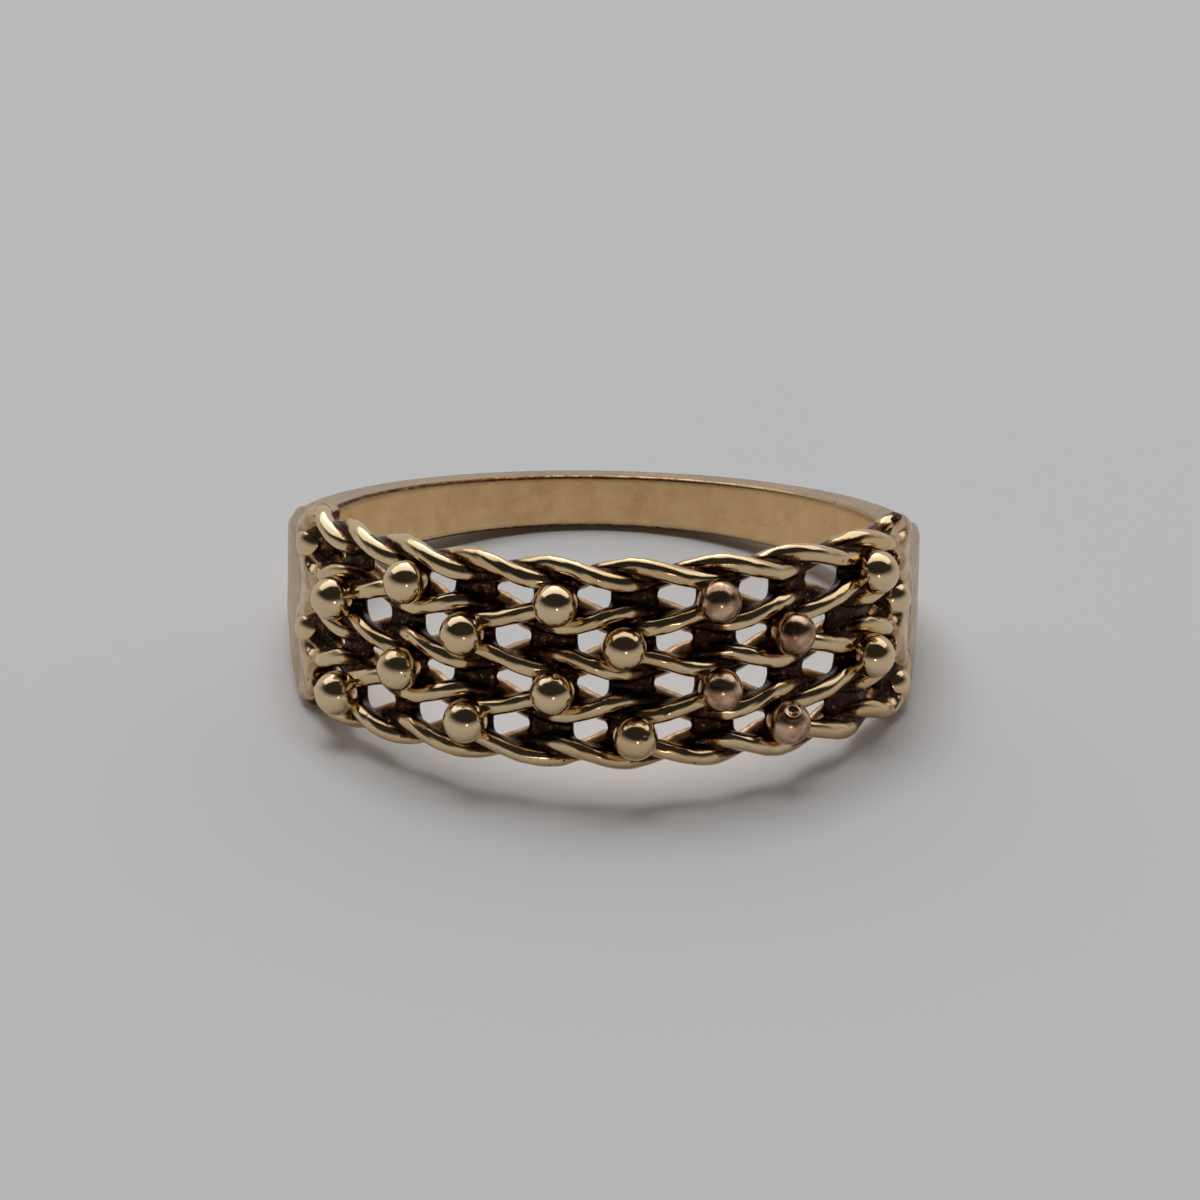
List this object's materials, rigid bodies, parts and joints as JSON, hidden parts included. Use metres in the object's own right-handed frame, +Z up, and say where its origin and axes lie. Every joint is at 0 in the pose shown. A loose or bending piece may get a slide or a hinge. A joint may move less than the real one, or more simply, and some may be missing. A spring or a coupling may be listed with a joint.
{
  "type": "keeper ring",
  "caption": "Gold keeper finger ring: a wide pierced front of twisted wire ropes with round granules, on a plain band that tapers to the back.",
  "frame": {"origin": "on the surface that the ring lies on, under the middle of its bounding box", "axes": "+Z up from that surface, wirework front towards -Y, plain back towards +Y, +X to the right as seen from the front"},
  "size_m": [0.021, 0.022, 0.0083],
  "materials": {
    "gold": "worn 9 carat yellow gold: polished granules and wires, dull inside the band, dark tarnish in the grooves"
  },
  "bodies": {
    "root": {"ring": "gold"}
  },
  "joints": []
}
